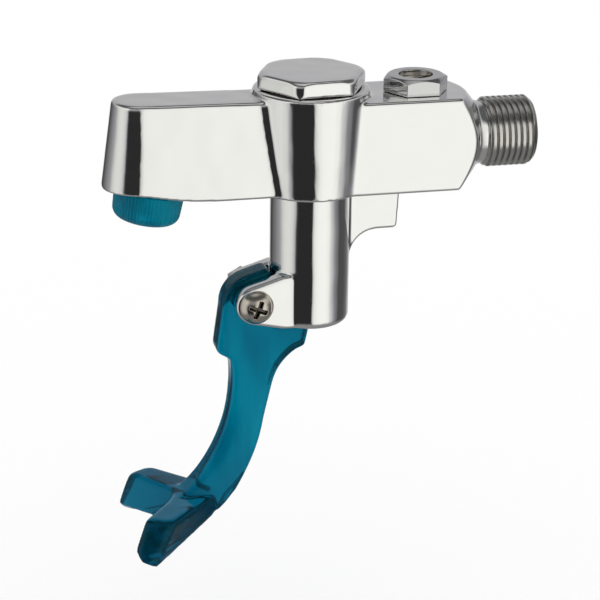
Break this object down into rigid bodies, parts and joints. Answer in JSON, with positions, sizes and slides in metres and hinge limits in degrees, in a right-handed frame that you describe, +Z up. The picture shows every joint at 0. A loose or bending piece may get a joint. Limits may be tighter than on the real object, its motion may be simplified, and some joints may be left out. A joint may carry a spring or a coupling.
{
  "type": "glass filler faucet",
  "caption": "Push-back glass filler tap: a lever swung by the glass lifts a valve stem; square inlet arm with a threaded tail and a flow regulator, drafted spout with a nozzle.",
  "frame": {"origin": "on the inlet axis at the shoulder where the inlet thread starts", "axes": "+X along the inlet thread towards the supply, +Z up, spout towards -X"},
  "size_m": [0.1289, 0.0406, 0.1468],
  "materials": {
    "chrome": "polished chrome plate on brass",
    "blue_plastic": "clear blue moulded plastic",
    "steel": "stainless steel",
    "brass": "machined brass",
    "rubber": "black sealing rubber",
    "fibre": "red fibre washer",
    "white_plastic": "white acetal"
  },
  "bodies": {
    "tap": {"faucet_body": "chrome", "bonnet_cap": "chrome", "cap_gasket": "fibre", "valve_seat": "brass", "stem_bush": "brass", "stem_seals": "rubber", "seal_washer": "white_plastic", "regulator_gland": "chrome", "gland_gasket": "fibre", "nozzle_shell": "blue_plastic", "flow_straightener": "white_plastic", "nozzle_screen": "steel", "nozzle_gasket": "rubber", "inlet_strainer": "steel", "pivot_screw": "steel", "pivot_nut": "steel"},
    "lever": {"lever": "blue_plastic"},
    "stem": {"valve_stem": "brass", "stem_foot": "white_plastic", "disc_holder": "brass", "seat_washer": "rubber", "washer_nut": "brass", "valve_spring": "steel"},
    "regulator_carriage": {"regulator_ring": "rubber"},
    "regulator": {"regulator_spindle": "steel"}
  },
  "joints": [
    {"name": "lever_pivot", "type": "hinge", "parent": "tap", "child": "lever", "pos_m": [-0.0698, 0, -0.0471], "axis": [0, -1, 0], "range_deg": [0, 12], "stiffness_Nm_per_rad": 0.1325, "springref_deg": -37.82},
    {"name": "stem_lift", "type": "slide", "parent": "tap", "child": "stem", "axis": [0, 0, 1], "range_m": [0, 0.0038], "deforming": ["valve_spring"]},
    {"name": "regulator_travel", "type": "slide", "parent": "tap", "child": "regulator_carriage", "axis": [0, 0, -1], "range_m": [0, 0.00299]},
    {"name": "regulator_turn", "type": "hinge", "parent": "regulator_carriage", "child": "regulator", "pos_m": [-0.02025, 0, 0.017], "axis": [0, 0, -1], "range_deg": [0, 1080]}
  ],
  "couplings": [
    {"joint": "lever_pivot", "follows": "stem_lift", "rad_per_m": 54.945},
    {"joint": "regulator_turn", "follows": "regulator_travel", "rad_per_m": 6283.2}
  ]
}
